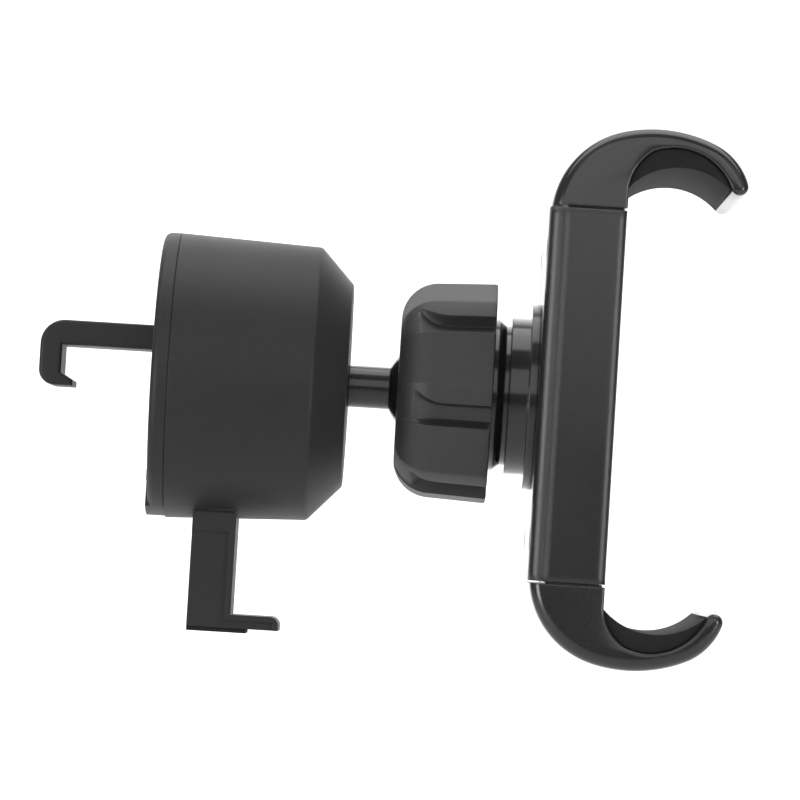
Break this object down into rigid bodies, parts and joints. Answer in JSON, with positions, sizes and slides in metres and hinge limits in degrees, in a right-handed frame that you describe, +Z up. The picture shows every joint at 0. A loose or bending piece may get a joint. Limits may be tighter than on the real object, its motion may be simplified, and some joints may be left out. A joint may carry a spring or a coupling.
{
  "type": "air vent phone holder",
  "caption": "Air vent phone holder: hooked barrel with a support leg, ball joint with a lobed clamp nut, and a spring cradle with two curved claws.",
  "frame": {"origin": "centre of the back plate's rear face, which presses on the vent", "axes": "+X along the barrel towards the phone, +Z up towards the upper claw, +Y to the far side"},
  "size_m": [0.0966, 0.042, 0.0742],
  "materials": {
    "housing_plastic": "satin dark grey moulded plastic",
    "stud_plastic": "smooth black plastic",
    "hook_plastic": "satin dark grey moulded plastic",
    "leg_plastic": "satin dark grey moulded plastic",
    "liner_plastic": "grey bearing plastic",
    "socket_plastic": "black moulded plastic",
    "nut_plastic": "spark-textured dark grey plastic",
    "cradle_plastic": "satin dark grey moulded plastic with polished edges",
    "arm_plastic": "satin dark grey moulded plastic with polished edges",
    "gear_plastic": "natural acetal",
    "grip_rubber": "matt soft rubber",
    "foot_rubber": "matt soft rubber",
    "screw_steel": "zinc plated",
    "spring_steel": "spring wire"
  },
  "bodies": {
    "clip_base": {"barrel": "housing_plastic", "back_plate": "housing_plastic", "plate_screws": "screw_steel", "ball_stud": "stud_plastic", "stud_washer": "screw_steel", "stud_screw": "screw_steel", "hook_spring": "spring_steel"},
    "hook": {"vent_hook": "hook_plastic", "hook_retainer": "screw_steel", "hook_screw": "screw_steel"},
    "leg": {"support_leg": "leg_plastic", "foot_pad": "foot_rubber"},
    "cup": {"ball_cup": "liner_plastic"},
    "liner": {"friction_liner": "liner_plastic"},
    "cradle": {"socket": "socket_plastic", "socket_screws": "screw_steel", "cradle_cover": "cradle_plastic", "cover_screws": "screw_steel", "cradle_housing": "cradle_plastic", "front_pad": "grip_rubber", "pinion_pin": "screw_steel", "upper_arm_spring": "spring_steel", "lower_arm_spring": "spring_steel"},
    "ring": {"pressure_ring": "liner_plastic"},
    "nut": {"clamp_nut": "nut_plastic"},
    "upper_arm": {"upper_arm": "arm_plastic", "upper_arm_pad": "grip_rubber"},
    "lower_arm": {"lower_arm": "arm_plastic", "lower_arm_pad": "grip_rubber"},
    "pinion": {"pinion": "gear_plastic"}
  },
  "joints": [
    {"name": "hook_pull", "type": "slide", "parent": "clip_base", "child": "hook", "axis": [-1, 0, 0], "range_m": [0, 0.008], "stiffness_N_per_m": 250, "springref_m": -0.004, "deforming": ["hook_spring"]},
    {"name": "leg_slide", "type": "slide", "parent": "clip_base", "child": "leg", "axis": [-1, 0, 0], "range_m": [0, 0.006]},
    {"name": "ball_pan", "type": "hinge", "parent": "clip_base", "child": "cup", "pos_m": [0.0387, 0, 0], "axis": [0, 0, 1], "range_deg": [-18, 18]},
    {"name": "ball_tilt", "type": "hinge", "parent": "cup", "child": "liner", "pos_m": [0.0387, 0, 0], "axis": [0, 1, 0], "range_deg": [-18, 18]},
    {"name": "ball_spin", "type": "hinge", "parent": "liner", "child": "cradle", "pos_m": [0.0387, 0, 0], "axis": [1, 0, 0], "continuous": true},
    {"name": "nut_advance", "type": "slide", "parent": "cradle", "child": "ring", "axis": [-1, 0, 0], "range_m": [0, 0.000375]},
    {"name": "nut_turn", "type": "hinge", "parent": "ring", "child": "nut", "pos_m": [0.0387, 0, 0], "axis": [1, 0, 0], "range_deg": [0, 91]},
    {"name": "upper_arm_slide", "type": "slide", "parent": "cradle", "child": "upper_arm", "axis": [0, 0, 1], "range_m": [0, 0.014], "stiffness_N_per_m": 150, "springref_m": -0.01, "deforming": ["upper_arm_spring"]},
    {"name": "lower_arm_slide", "type": "slide", "parent": "cradle", "child": "lower_arm", "axis": [0, 0, -1], "range_m": [0, 0.014], "deforming": ["lower_arm_spring"]},
    {"name": "pinion_turn", "type": "hinge", "parent": "cradle", "child": "pinion", "pos_m": [0.0593, 0, 0], "axis": [1, 0, 0], "range_deg": [-134, 1]}
  ],
  "couplings": [
    {"joint": "lower_arm_slide", "follows": "upper_arm_slide", "ratio": 1},
    {"joint": "pinion_turn", "follows": "upper_arm_slide", "rad_per_m": -166.67},
    {"joint": "nut_turn", "follows": "nut_advance", "rad_per_m": 4188.8}
  ]
}
